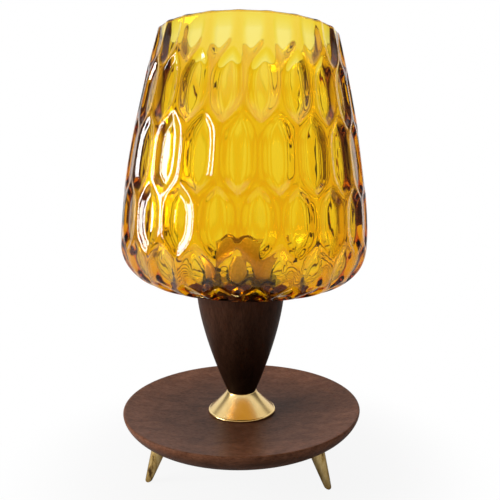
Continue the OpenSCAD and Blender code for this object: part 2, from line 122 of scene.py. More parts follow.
def turned(name, outline, columns):
    """A closed outline of (radius, height) points carried round the Z axis: x = radius * cos(angle),
    y = radius * sin(angle), z = height. A clockwise outline is reversed, so that the faces look
    outwards."""
    r, z = outline[:, 0], outline[:, 1]
    area = np.sum(r * np.roll(z, -1) - np.roll(r, -1) * z)
    if area < 0:
        r, z = r[::-1], z[::-1]
    angle = np.linspace(0, 2 * np.pi, columns, endpoint=False)
    points = np.stack(np.broadcast_arrays(
        r[:, None] * np.cos(angle), r[:, None] * np.sin(angle), z[:, None]), -1)
    return mesh_piece(name, points, ring_faces(len(r), columns))


def tube(name, rings):
    """Rings of points joined one to the next, with a flat face over the first and the last."""
    rows, around = rings.shape[:2]
    sides = ring_faces(rows, around)[:(rows - 1) * around]
    caps = [list(range(around))[::-1], list(range((rows - 1) * around, rows * around))]
    return mesh_piece(name, rings, sides.tolist() + caps)


def dress(piece, body, slot, material, *nodes):
    """Gives a new piece its material and its body, and hides the solids that it stands for. The slot is not
    used.
    """
    piece.data.materials.append(material)
    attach(piece, body)
    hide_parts(*nodes)
    low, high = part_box(nodes[0])
    print(piece.name, "faces:", len(piece.data.polygons),
          "solid height:", round(low.z, 4), round(high.z, 4))


# %% [markdown]
# A material is a small graph of nodes. The helpers below keep the graphs short: one makes a material
# with a principled shader, one adds a node and sets its values, and one makes a noise that is stretched
# along an axis, which is how grain, lathe marks and ripples are drawn. The others read a value through
# a ramp of colours, spread it over a range, multiply two colours or raise a bump.

# %% Helpers for materials


def new_material(name):
    """A material with a principled shader, and the tree that holds it."""
    material = bpy.data.materials.new(name)
    material.use_nodes = True
    tree = material.node_tree
    shader = tree.nodes["Principled BSDF"]
    return material, tree, shader


def add_node(tree, kind, values=None, **settings):
    """Adds a node of a kind, sets its properties and the values of its unlinked sockets."""
    node = tree.nodes.new(kind)
    for key, value in settings.items():
        setattr(node, key, value)
    for key, value in (values or {}).items():
        node.inputs[key].default_value = value
    return node


def coordinates(tree, kind):
    """Outputs X, Y and Z: of a place on a piece for Object, of a ray's direction for a room's Generated."""
    place = add_node(tree, "ShaderNodeTexCoord")
    parts = add_node(tree, "ShaderNodeSeparateXYZ")
    tree.links.new(place.outputs[kind], parts.inputs["Vector"])
    return parts.outputs


def stretched_noise(tree, scale, detail, roughness=0.55, distortion=0.0):
    """Noise on Object coordinates times a scale along each axis: a small scale draws long marks."""
    place = add_node(tree, "ShaderNodeTexCoord")
    mapping = add_node(tree, "ShaderNodeMapping", {"Scale": scale})
    noise = add_node(tree, "ShaderNodeTexNoise",
                     {"Scale": 1.0, "Detail": detail, "Roughness": roughness, "Distortion": distortion})
    tree.links.new(place.outputs["Object"], mapping.inputs["Vector"])
    tree.links.new(mapping.outputs["Vector"], noise.inputs["Vector"])
    return noise.outputs["Fac"]


def ramp(tree, source, stops):
    """A colour ramp from (position, colour) stops, read by a value."""
    node = add_node(tree, "ShaderNodeValToRGB")
    elements = node.color_ramp.elements
    while len(elements) < len(stops):
        elements.new(0.5)
    for element, (position, colour) in zip(elements, stops):
        element.position = position
        element.color = (*colour, 1.0)
    tree.links.new(source, node.inputs["Fac"])
    return node.outputs["Color"]


def spread(tree, source, low, high, start=0.0, end=1.0, **settings):
    """Maps a value from start..end to low..high, and holds it level outside that range."""
    values = {"From Min": start, "From Max": end, "To Min": low, "To Max": high}
    node = add_node(tree, "ShaderNodeMapRange", values, **settings)
    tree.links.new(source, node.inputs["Value"])
    return node.outputs["Result"]


def multiplied(tree, first, second):
    """A colour multiplied by another colour or by a value."""
    node = add_node(tree, "ShaderNodeMix", {"Factor": 1.0}, data_type="RGBA", blend_type="MULTIPLY")
    tree.links.new(first, node.inputs["A"])
    tree.links.new(second, node.inputs["B"])
    return node.outputs["Result"]


def bump(tree, shader, height, strength, distance):
    """Raises the surface's shading by a height pattern."""
    node = add_node(tree, "ShaderNodeBump", {"Strength": strength, "Distance": distance})
    tree.links.new(height, node.inputs["Height"])
    tree.links.new(node.outputs["Normal"], shader.inputs["Normal"])


# %% [markdown]
# Dark stained wood. The figure is a noise stretched along the grain, and the pores are a much finer
# one. Both feed the colour, and the pores also feed the gloss and a very small bump. On top of that,
# the colour is darkened lower down on each piece: painted shade, in the plate's dish round the ferrule
# and towards the stem's foot. A picture of wood could be wrapped round each piece, but a noise in the
# piece's own space has no seam and runs through it as real grain does. The plate's grain runs along X
# and the stem's along Z, so the stretch is given for each.

# %% Wood
stains = np.array([(0.130, 0.049, 0.024), (0.178, 0.070, 0.036), (0.225, 0.093, 0.051)])
figure_stops = (0.30, 0.50, 0.70)
pore_stops = [(0.35, (0.60, 0.57, 0.55)), (0.55, (1.0, 1.0, 1.0))]
wood_shine = 0.05


def stained_and_shaded_wood(name, tone, figure_scale, pore_scale, dark_z, full_z, dark_share):
    """Brown wood with a satin gloss: the stains, times a tone, are read by the figure and darkened in the
    pores. At the height dark_z only dark_share of the colour is left, and at full_z all of it: painted
    shade."""
    material, tree, shader = new_material(name)
    shader.inputs["Specular IOR Level"].default_value = wood_shine
    figure = stretched_noise(tree, figure_scale, detail=6, distortion=1.2)
    pores = stretched_noise(tree, pore_scale, detail=3, roughness=0.7)
    browns = ramp(tree, figure, list(zip(figure_stops, stains * tone)))
    stained = multiplied(tree, browns, ramp(tree, pores, pore_stops))
    # Painted shade: the colour is darker lower down, from dark_share at dark_z up to all of it at full_z.
    height = coordinates(tree, "Object")["Z"]
    shaded_lower_down = multiplied(tree, stained, spread(tree, height, dark_share, 1.0, start=dark_z, end=full_z))
    tree.links.new(shaded_lower_down, shader.inputs["Base Color"])
    tree.links.new(spread(tree, pores, low=0.48, high=0.30), shader.inputs["Roughness"])
    bump(tree, shader, pores, strength=0.2, distance=0.0002)
    return material


# Both woods get painted shade lower down: the plate in its dish round the ferrule, the stem towards its
# foot.
plate_wood = stained_and_shaded_wood("plate_wood", tone=1.10, figure_scale=(55, 90, 90), pore_scale=(300, 1000, 1000),
                          dark_z=0.0425, full_z=0.0470, dark_share=0.54)
stem_wood = stained_and_shaded_wood("stem_wood", tone=0.36, figure_scale=(110, 110, 22), pore_scale=(1300, 1300, 90),
                         dark_z=0.075, full_z=0.130, dark_share=0.30)
print("woods:", plate_wood.name, stem_wood.name)

# %% [markdown]
# Brass comes in two finishes. The spun ferrule has fine rings from the lathe, drawn by a noise that
# changes almost only with height. The feet are polished, with a light patina in spots.

# %% Brass


def spun_brass(name):
    """Satin brass with fine level rings."""
    material, tree, shader = new_material(name)
    rings = stretched_noise(tree, (8, 8, 4000), detail=3)
    cloud = stretched_noise(tree, (60, 60, 60), detail=4)
    golds = [(0.35, (0.76, 0.53, 0.21)), (0.65, (0.87, 0.64, 0.29))]
    tree.links.new(ramp(tree, cloud, golds), shader.inputs["Base Color"])
    shader.inputs["Metallic"].default_value = 1.0
    tree.links.new(spread(tree, rings, low=0.18, high=0.30), shader.inputs["Roughness"])
    bump(tree, shader, rings, strength=0.15, distance=0.0001)
    return material


def patina_brass(name):
    """Polished brass with darker speckles of patina."""
    material, tree, shader = new_material(name)
    specks = stretched_noise(tree, (230, 230, 70), detail=5, roughness=0.65)
    golds = [(0.35, (0.12, 0.065, 0.025)), (0.45, (0.66, 0.43, 0.14)), (0.62, (0.93, 0.69, 0.31))]
    tree.links.new(ramp(tree, specks, golds), shader.inputs["Base Color"])
    shader.inputs["Metallic"].default_value = 1.0
    tree.links.new(spread(tree, specks, low=0.28, high=0.08), shader.inputs["Roughness"])
    bump(tree, shader, specks, strength=0.2, distance=0.0002)
    return material


ferrule_brass = spun_brass("ferrule_brass")
foot_brass = patina_brass("foot_brass")
print("brasses:", ferrule_brass.name, foot_brass.name)

# %% [markdown]
# Amber glass takes its colour from the depth of glass that light passes through, so the shader itself
# is clear and a volume absorbs blue, then green. A coloured surface would be simpler, but then thick
# ridges and oblique walls wouldn't come out darker by themselves. A very faint bump stands for the
# ripples of blown glass.

# %% Amber glass
glass_colour = (0.972, 0.880, 0.022)
glass_density = 860.0
glass_bend = 1.5


def amber_glass(name):
    """Clear glass with an absorbing volume: light fades by exp(-density * (1 - colour) * depth)."""
    material, tree, shader = new_material(name)
    shader.inputs["Base Color"].default_value = (1.0, 1.0, 1.0, 1.0)
    shader.inputs["Transmission Weight"].default_value = 1.0
    shader.inputs["Roughness"].default_value = 0.0
    shader.inputs["IOR"].default_value = glass_bend
    ripples = stretched_noise(tree, (90, 90, 30), detail=2)
    bump(tree, shader, ripples, strength=0.12, distance=0.002)
    depth = add_node(tree, "ShaderNodeVolumeAbsorption",
                     {"Color": (*glass_colour, 1.0), "Density": glass_density})
    tree.links.new(depth.outputs["Volume"], tree.nodes["Material Output"].inputs["Volume"])
    return material


shade_glass = amber_glass("shade_glass")
sample_depth = 5 * MM
light_left = [round(math.exp(-glass_density * (1 - part) * sample_depth), 2) for part in glass_colour]
print("red, green and blue left after 5 mm of glass:", light_left)

# %% [markdown]
# The shade is hand-blown, with rows of long cells sunk into its outside and a smooth inside. It could
# be a turned bowl with cells cut into it one by one. Here its wall is one surface of two parameters
# instead: the angle round the axis, and the length along the wall from the rim. That leaves one closed
# skin, which refraction needs. The outline comes first: a flat floor, a superellipse for the corner,
# and a wall that tapers towards the rim. It lies a hair inside the solid, so that nothing stands out of
# it.

# %% Outline of the shade
_, gasket_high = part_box("lower_gasket")
glass_z = gasket_high.z
shade_height = 189.5 * MM
hair = 0.1 * MM
belly_radius = 92.8 * MM - hair
rim_radius = 67.2 * MM - hair
flat_radius = 37.0 * MM
hole_radius = 21.0 * MM
corner_height = 37.5 * MM
taper_start = 46.5 * MM
glass_thickness = 4.6 * MM
rim_thickness = 4.4 * MM
rim_thinning = 15.0 * MM
floor_thickness = 4.0 * MM
corner_power = 2.23
taper_power = 1.5
fine_count = 200
corner_count = 120
outer_count = 176


def wall_radius(z):
    """Belly radius up to the start of the taper, then less by a power of the height above it."""
    share = np.clip((z - taper_start) / (shade_height - taper_start), 0, 1)
    return belly_radius - (belly_radius - rim_radius) * share ** taper_power


def corner_curve(widest, floor_z, count):
    """Quarter of a superellipse from the flat floor out to the widest place."""
    sweep = np.linspace(np.pi / 2, 0, count)
    r = flat_radius + (widest - flat_radius) * np.cos(sweep).clip(0) ** (2 / corner_power)
    z = corner_height - (corner_height - floor_z) * np.sin(sweep) ** (2 / corner_power)
    return np.stack([r, z], 1)


def evenly(points, count):
    """The same line with its points spread evenly along its length, and the length at each point."""
    steps = np.linalg.norm(np.diff(points, axis=0), axis=1)
    length = np.concatenate([[0], np.cumsum(steps)])
    at = np.linspace(0, length[-1], count)
    return np.stack([np.interp(at, length, points[:, 0]), np.interp(at, length, points[:, 1])], 1), at


def normals_of(points):
    """Normals to the right of a line's direction."""
    along = np.gradient(points, axis=0)
    along /= np.linalg.norm(along, axis=1)[:, None]
    return np.stack([along[:, 1], -along[:, 0]], 1)


def thickness_at(z):
    """Full thickness up to a little below the rim, then thinner towards it by a smooth step."""
    share = ((z - shade_height + rim_thinning) / rim_thinning).clip(0, 1)
    return glass_thickness - (glass_thickness - rim_thickness) * share * share * (3 - 2 * share)


wall_heights = np.linspace(corner_height, shade_height, fine_count)[1:]
outer_line = np.concatenate([
    corner_curve(belly_radius, 0, corner_count),
    np.stack([wall_radius(wall_heights), wall_heights], 1)])
outer_line, outer_length = evenly(outer_line, outer_count)
wall_length = outer_length[-1]
print("wall length:", round(wall_length / MM, 1), "mm")

# %% [markdown]
# Each cell is a long hexagon between two upright ridges, with a zigzag ridge above and below. How deep
# a place is sunk depends on its distance from the nearest ridge, so one formula makes every cell. The
# rows of the hand-blown glass don't line up exactly, so each row has a turn of its own. Rows end at
# shares of the wall's length from the rim. The relief is weaker near the rim and fades out towards the
# floor.

# %% Honeycomb relief
cells_round = 22
columns_a_cell = 20
columns = cells_round * columns_a_cell
row_turns = np.radians([10.7, 6.7, 4.7, 5.2, 5.2, 5.2, 5.2])
row_ends = np.array([0.117, 0.293, 0.495, 0.665, 0.79, 0.91])
cell_depth = 2.0 * MM
cell_point = 11.0 * MM
web_half = 0.5 * MM
flank_share = 0.60
ridge_sharpness = 300.0
relief_fade = 10.0 * MM
rim_fade = 9.0 * MM
rim_share = 0.45
angle = np.linspace(0, 2 * np.pi, columns, endpoint=False)


def ridge_distance(turn, row):
    """Distance from the nearest upright ridge in cells: 0 on a ridge, 0.5 in mid cell. Odd rows are shifted
    by half a cell, and each row has a turn of its own."""
    part = ((angle - turn) * cells_round / (2 * np.pi) + 0.5 * (row % 2)) % 1.0
    return np.minimum(part, 1 - part)


def sunken_share(from_rim, radius):
    """Share of the cell depth at each place: a smooth minimum of the distances to the upright ridge and to
    the zigzag ridges above and below, less a flat web, turned into a cosine wave that levels out in mid
    cell. The length from the rim runs down the array and the angle across it."""
    from_rim = from_rim[:, None]
    half_cell = np.pi * radius[:, None] / cells_round
    zigzag_turns = (row_turns[1:] + row_turns[:-1]) / 2
    zigzags = np.stack([end * wall_length + cell_point / 2 * (4 * ridge_distance(turn, k) - 1)
                        for k, (end, turn) in enumerate(zip(row_ends, zigzag_turns))])
    row = (from_rim[None] >= zigzags[:, None, :]).sum(0)
    place = np.broadcast_to(np.arange(columns), row.shape)
    uprights = np.stack([ridge_distance(turn, k) for k, turn in enumerate(row_turns)])
    side = uprights[row, place] * 2 * half_cell
    far = 1.0
    edges = np.concatenate([np.full((1, columns), -far), zigzags, np.full((1, columns), wall_length + far)])
    above = from_rim - edges[row, place]
    below = edges[row + 1, place] - from_rim
    weights = (np.exp(-ridge_sharpness * side) + np.exp(-ridge_sharpness * above)
               + np.exp(-ridge_sharpness * below))
    near = (-np.log(weights) / ridge_sharpness - web_half).clip(0)
    towards_floor = ((wall_length - from_rim) / relief_fade).clip(0, 1)
    towards_rim = rim_share + (1 - rim_share) * (from_rim / rim_fade).clip(0, 1)
    flank = flank_share * half_cell
    return towards_floor * towards_rim * (1 - np.cos(np.pi * (near / flank).clip(0, 1))) / 2


sunk = cell_depth * sunken_share(wall_length - outer_length, outer_line[:, 0])
print("deepest cell:", round(sunk.max() / MM, 2), "mm")

# %% [markdown]
# The surface is a stack of rings that goes once round the wall's section: up the outside, over a rim
# that is rounded as if softened by a flame, down the inside and across the floor to the hole. The wall
# leans a little to one side, as a hand-blown one does, while the flat floor stays level on its gasket.

# %% Surface of the shade
lean = math.radians(1.7)
lean_width = 13.0 * MM
wall_offset = 2.1 * MM
inner_corner_count = 20
inner_wall_count = 15
rim_count = 9
floor_count = 5
glass_edge_angle = math.radians(60)


def leaning(r, z):
    """Carries radii and heights round the axis. The wall leans towards +X and stands off the axis as a
    whole, and the flat floor stays level: the share of the lean grows from 0 to 1 in a ring round it."""
    share = ((r - flat_radius) / lean_width).clip(0, 1)
    side = r * np.sin(angle)
    x = side + share * (wall_offset + z * math.tan(lean))
    y = -r * np.cos(angle)
    return np.stack(np.broadcast_arrays(x, y, glass_z + z - share * side * math.tan(lean)), -1)


outward = normals_of(outer_line)
outer_r = outer_line[:, :1] - outward[:, :1] * sunk
outer_z = outer_line[:, 1:] - outward[:, 1:] * sunk
rim_round = rim_thickness / 2
outer_rows = leaning(outer_r, outer_z * (shade_height - rim_round) / shade_height)

inner_corner, _ = evenly(corner_curve(belly_radius - glass_thickness, floor_thickness, fine_count),
                         inner_corner_count)
inner_heights = np.linspace(corner_height, shade_height - rim_round, inner_wall_count)[1:]
inner_wall = np.stack([wall_radius(inner_heights) - thickness_at(inner_heights), inner_heights], 1)
inner_line = np.concatenate([inner_corner, inner_wall])
inner_rows = leaning(inner_line[::-1, :1], inner_line[::-1, 1:])

rim_turn = np.linspace(0, np.pi, rim_count)[1:-1, None, None]
rim_middle = (outer_rows[-1] + inner_rows[0]) / 2
rim_half = (outer_rows[-1] - inner_rows[0]) / 2
rim_rise = np.array([0, 0, rim_round])
rim_rows = rim_middle + rim_half * np.cos(rim_turn) + rim_rise * np.sin(rim_turn)

floor_in = np.linspace(flat_radius, hole_radius, floor_count)[1:, None]
upper_floor = leaning(floor_in, np.full_like(floor_in, floor_thickness))
lower_floor = leaning(floor_in[::-1], np.zeros_like(floor_in))
shade_points = np.concatenate([lower_floor, outer_rows, rim_rows, inner_rows, upper_floor])
shade = mesh_piece("amber_shade", shade_points, ring_faces(len(shade_points), columns), glass_edge_angle)
dress(shade, "lamp", "amber_glass", shade_glass, "glass_shade")

# %% [markdown]
# The plate is turned from one board: a flat seat for the ferrule, a shallow dish, a rounded rim and a
# bellied underside with a recess for the nut. It could be a cylinder with its edges bevelled, but the
# outline of a lathe gives the dish and the belly their own curves.

# %% Base plate
plate_low, plate_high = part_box("base_plate")
plate_radius = (plate_high.x - plate_low.x) / 2
plate_bottom = plate_low.z
plate_rim_z = plate_high.z
ferrule_low, ferrule_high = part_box("brass_ferrule")
ferrule_radius = (ferrule_high.x - ferrule_low.x) / 2
seat_z = ferrule_low.z
seat_radius = ferrule_radius + 2 * MM
plate_flat_radius = 75 * MM
rim_softness = 1.0 * MM
recess_radius = 15 * MM
recess_depth = 6.2 * MM
recess_bevel = 0.5 * MM
pipe_hole_radius = 5.25 * MM
underside_power = 1.6
dish_power = 1.8
underside_count = 48
edge_count = 10
dish_count = 40
plate_columns = 192


def plate_outline():
    """Underside by a superellipse from the flat out to the rim, a round edge, then the dish by a power of
    the distance from the ferrule's seat."""
    sweep = np.linspace(np.pi / 2, 0, underside_count)
    edge_z = plate_rim_z - rim_softness
    belly = np.cos(sweep).clip(0) ** (2 / underside_power)
    under_r = plate_flat_radius + (plate_radius - plate_flat_radius) * belly
    under_z = edge_z - (edge_z - plate_bottom) * np.sin(sweep) ** (2 / underside_power)
    edge_sweep = np.linspace(0, np.pi / 2, edge_count)[1:]
    edge_r = plate_radius - rim_softness * (1 - np.cos(edge_sweep))
    edge_up = edge_z + rim_softness * np.sin(edge_sweep)
    dish_r = np.linspace(plate_radius - rim_softness, seat_radius, dish_count)[1:]
    share = (dish_r - seat_radius) / (plate_radius - rim_softness - seat_radius)
    dish_z = seat_z + (plate_rim_z - seat_z) * share ** dish_power
    recess_top = plate_bottom + recess_depth
    hole = [(pipe_hole_radius, seat_z), (pipe_hole_radius, recess_top), (recess_radius, recess_top),
            (recess_radius, plate_bottom + recess_bevel), (recess_radius + recess_bevel, plate_bottom)]
    return np.concatenate([np.stack([under_r, under_z], 1), np.stack([edge_r, edge_up], 1),
                           np.stack([dish_r, dish_z], 1), np.array(hole)])


plate = turned("turned_plate", plate_outline(), plate_columns)
dress(plate, "lamp", "dark_wood", plate_wood, "base_plate")

# %% [markdown]
# The stem is turned too. Its side swells from the ferrule's neck to the glass by a power of the height,
# and its top edge is softened under the glass. A pocket in its top takes the lampholder, and a tenon at
# its foot stands in the ferrule.

# %% Stem
stem_low, stem_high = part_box("wood_stem")
stem_top_radius = (stem_high.x - stem_low.x) / 2
stem_top = stem_high.z
neck_radius = 11.6 * MM
foot_setback = 0.3 * MM
foot_gap = 0.05 * MM
tenon_setback = 1.05 * MM
stem_foot_radius = neck_radius - foot_setback
stem_foot_z = ferrule_high.z + foot_gap
stem_power = 1.5
tenon_radius = neck_radius - tenon_setback
pocket_radius = 22.95 * MM
pocket_depth = 17 * MM
stem_edge = 0.8 * MM
stem_side_count = 70
stem_edge_count = 7
stem_columns = 144


def stem_outline():
    """Radius = top radius - (top radius - foot radius) * (share of the way down) ** power."""
    z = np.linspace(stem_foot_z, stem_top - stem_edge, stem_side_count)
    down = (stem_top - z) / (stem_top - stem_foot_z)
    side = np.stack([stem_top_radius - (stem_top_radius - stem_foot_radius) * down ** stem_power, z], 1)
    sweep = np.linspace(0, np.pi / 2, stem_edge_count)[1:]
    edge = np.stack([side[-1, 0] - stem_edge * (1 - np.cos(sweep)),
                     side[-1, 1] + stem_edge * np.sin(sweep)], 1)
    pocket_floor = stem_top - pocket_depth
    inside = [(pocket_radius, stem_top), (pocket_radius, pocket_floor), (pipe_hole_radius, pocket_floor),
              (pipe_hole_radius, stem_low.z), (tenon_radius, stem_low.z), (tenon_radius, stem_foot_z)]
    return np.concatenate([side, edge, np.array(inside)])


stem = turned("turned_stem", stem_outline(), stem_columns)
dress(stem, "lamp", "dark_wood", stem_wood, "wood_stem")

# %% [markdown]
# The ferrule is spun from sheet brass: a rolled bead at the foot, a flare that is almost a straight
# cone, and a short cup inside its neck that holds the foot of the stem. The inside follows the flare at
# the sheet's thickness, so the piece is hollow, as a spun one is.

# %% Ferrule
sheet = 1.0 * MM
sheet_across = 1.3 * sheet
bead_radius = 0.9 * MM
bead_step = 0.4 * MM
neck_bevel = 0.3 * MM
cup_depth = 2.0 * MM
flare_power = 1.2
bead_count = 11
flare_count = 40
ferrule_columns = 144


def ferrule_outline():
    """A half-round bead, then radius = neck + (foot - neck) * (share of the way down) ** power. Measured
    level, the slanting sheet is sheet_across thick."""
    foot_radius = ferrule_radius - bead_radius
    neck_z = ferrule_high.z
    sweep = np.linspace(-np.pi / 2, np.pi / 2, bead_count)
    bead = np.stack([foot_radius + bead_radius * np.cos(sweep),
                     seat_z + bead_radius * (1 + np.sin(sweep))], 1)
    flare_z = np.linspace(seat_z + 2 * bead_radius, neck_z - neck_bevel, flare_count)[1:]
    down = (neck_z - flare_z) / (neck_z - flare_z[0])
    flare_r = neck_radius + (foot_radius - bead_step - neck_radius) * down ** flare_power
    flare = np.stack([flare_r, flare_z], 1)
    cup_floor = neck_z - cup_depth
    web_z = neck_z - cup_depth - sheet
    cup = [(neck_radius - neck_bevel, neck_z), (neck_radius - sheet, neck_z),
           (neck_radius - sheet, cup_floor), (pipe_hole_radius, cup_floor), (pipe_hole_radius, web_z)]
    inner = flare[flare_z < web_z][::-1] - np.array([sheet_across, 0])
    foot_inside = [(inner[-1, 0], seat_z)]
    return np.concatenate([bead, flare, np.array(cup), inner, np.array(foot_inside)])


ferrule = turned("spun_ferrule", ferrule_outline(), ferrule_columns)
dress(ferrule, "lamp", "satin_brass", ferrule_brass, "brass_ferrule")

# %% [markdown]
# Each foot is a brass peg that leans outwards and is cut level, top and bottom. It could be a turned
# cone tilted into place, but a stack of level rings is simpler: each ring is an ellipse whose middle
# moves outwards on the way down, and the lowest rings draw in to a rounded tip. The three feet stand a
# third of a turn apart.

# %% Feet
leg_height = plate_bottom
foot_circle = 77.5 * MM
foot_splay = math.radians(21)
foot_tip_radius = 2.2 * MM
foot_top_radius = 6.5 * MM
foot_swell = 0.88
tip_round = 1.8 * MM
tip_share = 0.5
tip_count = 9
leg_count = 30
foot_columns = 48
first_bearing = 204
bearing_step = 120


def peg(name, bearing_degrees):
    """Rings at height z: radius = tip + (top - tip) * (z / height) ** swell, drawn in near the table by a
    quarter of an ellipse. The middle lies at circle - z * tan(splay), and the ring is longer along the lean
    by 1 / cos(splay)."""
    low_z = tip_round * (1 - np.cos(np.linspace(0, np.pi / 2, tip_count)))
    z = np.concatenate([low_z, np.linspace(tip_round, leg_height, leg_count)[1:]])
    radius = foot_tip_radius + (foot_top_radius - foot_tip_radius) * (z / leg_height) ** foot_swell
    drawn_in = np.sqrt(1 - (1 - tip_share ** 2) * (1 - z / tip_round).clip(0) ** 2)
    radius = (radius * drawn_in)[:, None]
    turn = np.linspace(0, 2 * np.pi, foot_columns, endpoint=False)
    out = foot_circle - z[:, None] * math.tan(foot_splay) + radius * np.cos(turn) / math.cos(foot_splay)
    across = radius * np.sin(turn)
    bearing = math.radians(bearing_degrees)
    x = out * math.cos(bearing) - across * math.sin(bearing)
    y = out * math.sin(bearing) + across * math.cos(bearing)
    return tube(name, np.stack(np.broadcast_arrays(x, y, z[:, None]), -1))


pegs = (("left_peg", "foot_front_left"), ("right_peg", "foot_front_right"), ("rear_peg", "foot_rear"))
for k, (foot_name, node) in enumerate(pegs):
    foot = peg(foot_name, (first_bearing + k * bearing_step) % 360)
    dress(foot, "lamp", "polished_brass", foot_brass, node)

# %% [markdown]
# The fixings, the gaskets and most pieces of the lampholder stay as the solids that the frame gives.
# They only need their metal, plastic, ceramic, rubber and felt. One noise makes each of these finishes
# a little cloudy, in colour and in gloss, because a perfectly even surface looks unreal.

# %% Inner pieces


def repaint(material, *nodes):
    """Puts a finish on solids that keep their own shape."""
    for node in nodes:
        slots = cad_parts[node].data.materials
        slots.clear()
        slots.append(material)
    print(material.name, "on:", *nodes)


def clouded(name, colour, scale, detail, shares, rough):
    """A finish whose colour lies between two shares of a colour and whose roughness lies between two
    values, both read by one noise."""
    material, tree, shader = new_material(name)
    cloud = stretched_noise(tree, (scale, scale, scale), detail=detail)
    dark, light = [tuple(min(1.0, share * part) for part in colour) for share in shares]
    tree.links.new(ramp(tree, cloud, [(0.3, dark), (0.7, light)]), shader.inputs["Base Color"])
    tree.links.new(spread(tree, cloud, *rough), shader.inputs["Roughness"])
    return material, shader


def moulded(name, colour, rough):
    """Moulded or pressed stuff: a colour with faint clouds, and a gloss that varies a little."""
    material, _ = clouded(name, colour, scale=120, detail=3, shares=(0.8, 1.15),
                          rough=(rough - 0.05, rough + 0.08))
    return material


def plain_metal(name, colour, rough):
    """Plated metal with a fine cloudy gloss."""
    material, shader = clouded(name, colour, scale=300, detail=4, shares=(0.75, 1.1),
                               rough=(rough - 0.06, rough + 0.1))
    shader.inputs["Metallic"].default_value = 1.0
    return material


brown_bakelite = moulded("brown_bakelite", (0.045, 0.022, 0.014), 0.3)
black_plastic = moulded("black_plastic", (0.02, 0.019, 0.018), 0.35)
white_ceramic = moulded("white_ceramic", (0.78, 0.76, 0.70), 0.2)
felt = moulded("felt", (0.10, 0.075, 0.055), 0.85)
rubber = moulded("rubber", (0.03, 0.03, 0.03), 0.7)
zinc_steel = plain_metal("zinc_steel", (0.55, 0.55, 0.54), 0.35)
contact_brass = plain_metal("contact_brass", (0.70, 0.50, 0.24), 0.3)

repaint(zinc_steel, "foot_studs", "threaded_pipe", "base_nut", "base_washer", "grub_screw")
repaint(contact_brass, "foot_inserts", "terminal_screws", "centre_contact", "holder_skirt", "holder_cap")
repaint(brown_bakelite, "shade_ring", "switch_block")
repaint(black_plastic, "cord_bush", "switch_bar", "switch_buttons")
repaint(white_ceramic, "contact_block")
repaint(felt, "lower_gasket")
repaint(rubber, "upper_gasket")

# %% [markdown]
# The screw shell is sheet brass, rolled so that the inside and the outside carry the same thread. It is
# one surface of height and angle: the sheet's radius is a wave of the height, and the wave is shifted
# by the angle, so it climbs by one pitch a turn. The wave fades out at both ends, where the sheet is
# plain.

# %% Screw shell
shell_low, shell_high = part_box("screw_shell")
shell_sheet = 0.5 * MM
shell_bore = 13.3 * MM
flange_radius = (shell_high.x - shell_low.x) / 2
thread_pitch = 3.63 * MM
thread_depth = 0.8 * MM
thread_fade = 2.0 * MM
shell_count = 64
shell_columns = 96


def threaded_shell():
    """Sheet radius = bore - depth * fade * (1 - cos(2 pi * height / pitch - angle)) / 2, inside and outside
    alike, with a flat flange at the foot. Fade grows from 0 at each end to 1."""
    around = np.linspace(0, 2 * np.pi, shell_columns, endpoint=False)[None]
    z = np.linspace(shell_low.z + shell_sheet, shell_high.z, shell_count)[:, None]
    fade = (np.minimum(z - z[0], z[-1] - z) / thread_fade).clip(0, 1)
    inside = shell_bore - thread_depth * fade * (1 - np.cos(2 * np.pi * z / thread_pitch - around)) / 2
    outside = inside + shell_sheet
    foot_r = np.array([[flange_radius], [flange_radius]]) + 0 * around
    foot_z = np.array([[shell_low.z], [shell_low.z + shell_sheet]])
    hem_r = np.full_like(around, shell_bore)
    r = np.concatenate([foot_r, outside, inside[::-1], hem_r])
    z = np.concatenate([foot_z, z, z[::-1], [[shell_low.z]]])
    points = np.stack(np.broadcast_arrays(r * np.cos(around), r * np.sin(around), z), -1)
    return mesh_piece("rolled_shell", points, ring_faces(*r.shape))


dress(threaded_shell(), "lamp", "satin_brass", contact_brass, "screw_shell")

# %% [markdown]
# The contact's spring is a round wire on a helix, with a mesh of its own.

# %% Contact spring
spring_low, spring_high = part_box("contact_spring")
spring_length = spring_high.z - spring_low.z
spring_turns = 5
rings_a_turn = 40
wire_columns = 10
wire_radius = 0.25 * MM
coil_radius = (spring_high.x - spring_low.x) / 2 - wire_radius


def coil():
    """A ring of points carried along a helix: at each place the ring stands on the helix's inward and
    upward directions, and both ends are closed by a face."""
    turn = np.linspace(0, 2 * np.pi * spring_turns, rings_a_turn * spring_turns + 1)
    climb = (spring_length - 2 * wire_radius) / turn[-1]
    middle = np.stack([coil_radius * np.cos(turn), coil_radius * np.sin(turn),
                       spring_low.z + wire_radius + climb * turn], 1)
    along = np.stack([-coil_radius * np.sin(turn), coil_radius * np.cos(turn),
                      np.full_like(turn, climb)], 1)
    along /= np.linalg.norm(along, axis=1)[:, None]
    inward = np.stack([-np.cos(turn), -np.sin(turn), np.zeros_like(turn)], 1)
    upward = np.cross(along, inward)
    ring = np.linspace(0, 2 * np.pi, wire_columns, endpoint=False)[None, :, None]
    wire = np.cos(ring) * inward[:, None] + np.sin(ring) * upward[:, None]
    return tube("wire_coil", middle[:, None] + wire_radius * wire)


spring = coil()
dress(spring, "lamp", "steel", zinc_steel, "contact_spring")
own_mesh(spring)

# %% [markdown]
# The stage is a floor that looks white and keeps only a light shadow under the lamp. Its paint is pale
# grey for the light that bounces off it. To the camera, also through the glass, it is nine tenths plain
# white near the lamp and all white away from it. Paint alone would turn grey with the room's light.

# %% Floor
floor_size = 3.0
floor_grey = 0.6
shadow_start = 0.10
shadow_end = 0.21
least_white = 0.90


def calculated(tree, operation, *sources):
    """A maths node that reads one or two values."""
    node = add_node(tree, "ShaderNodeMath", operation=operation)
    for socket, source in zip(node.inputs, sources):
        tree.links.new(source, socket)
    return node.outputs["Value"]


